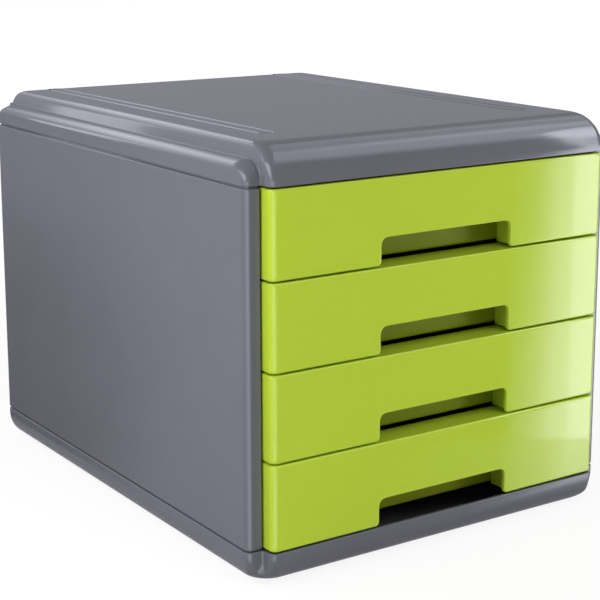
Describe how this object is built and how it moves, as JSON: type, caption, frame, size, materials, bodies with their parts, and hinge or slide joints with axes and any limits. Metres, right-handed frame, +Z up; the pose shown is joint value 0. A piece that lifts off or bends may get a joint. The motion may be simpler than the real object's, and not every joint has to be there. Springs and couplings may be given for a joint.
{
  "type": "desktop file drawer",
  "caption": "Free-standing desktop cabinet with pull-out paper drawers, each with a notch handle in the lower edge of its glossy front.",
  "frame": {"origin": "on the surface that the cabinet stands on, under the middle of its bounding box", "axes": "+X to the user's right when facing the drawers, +Y from the drawer fronts to the back, +Z up"},
  "size_m": [0.292, 0.3746, 0.2775],
  "materials": {
    "housing": "glossy moulded grey plastic",
    "runner": "matte moulded dark grey plastic",
    "drawer_front": "high-gloss lime green plastic",
    "drawer_tray": "satin lime green plastic",
    "foot": "matte black rubber",
    "screw": "zinc-plated steel"
  },
  "bodies": {
    "cabinet": {"top_cover": "housing", "base": "housing", "left_side_panel": "housing", "right_side_panel": "housing", "back_panel": "housing", "left_runner_frame": "runner", "right_runner_frame": "runner", "foot_front_left": "foot", "foot_front_right": "foot", "foot_rear_left": "foot", "foot_rear_right": "foot", "case_screws": "screw"},
    "drawer_1": {"drawer_1_front": "drawer_front", "drawer_1_tray": "drawer_tray"},
    "drawer_2": {"drawer_2_front": "drawer_front", "drawer_2_tray": "drawer_tray"},
    "drawer_3": {"drawer_3_front": "drawer_front", "drawer_3_tray": "drawer_tray"},
    "drawer_4": {"drawer_4_front": "drawer_front", "drawer_4_tray": "drawer_tray"}
  },
  "joints": [
    {"name": "drawer_1_slide", "type": "slide", "parent": "cabinet", "child": "drawer_1", "axis": [0, -1, 0], "range_m": [0, 0.255]},
    {"name": "drawer_2_slide", "type": "slide", "parent": "cabinet", "child": "drawer_2", "axis": [0, -1, 0], "range_m": [0, 0.255]},
    {"name": "drawer_3_slide", "type": "slide", "parent": "cabinet", "child": "drawer_3", "axis": [0, -1, 0], "range_m": [0, 0.255]},
    {"name": "drawer_4_slide", "type": "slide", "parent": "cabinet", "child": "drawer_4", "axis": [0, -1, 0], "range_m": [0, 0.255]}
  ]
}
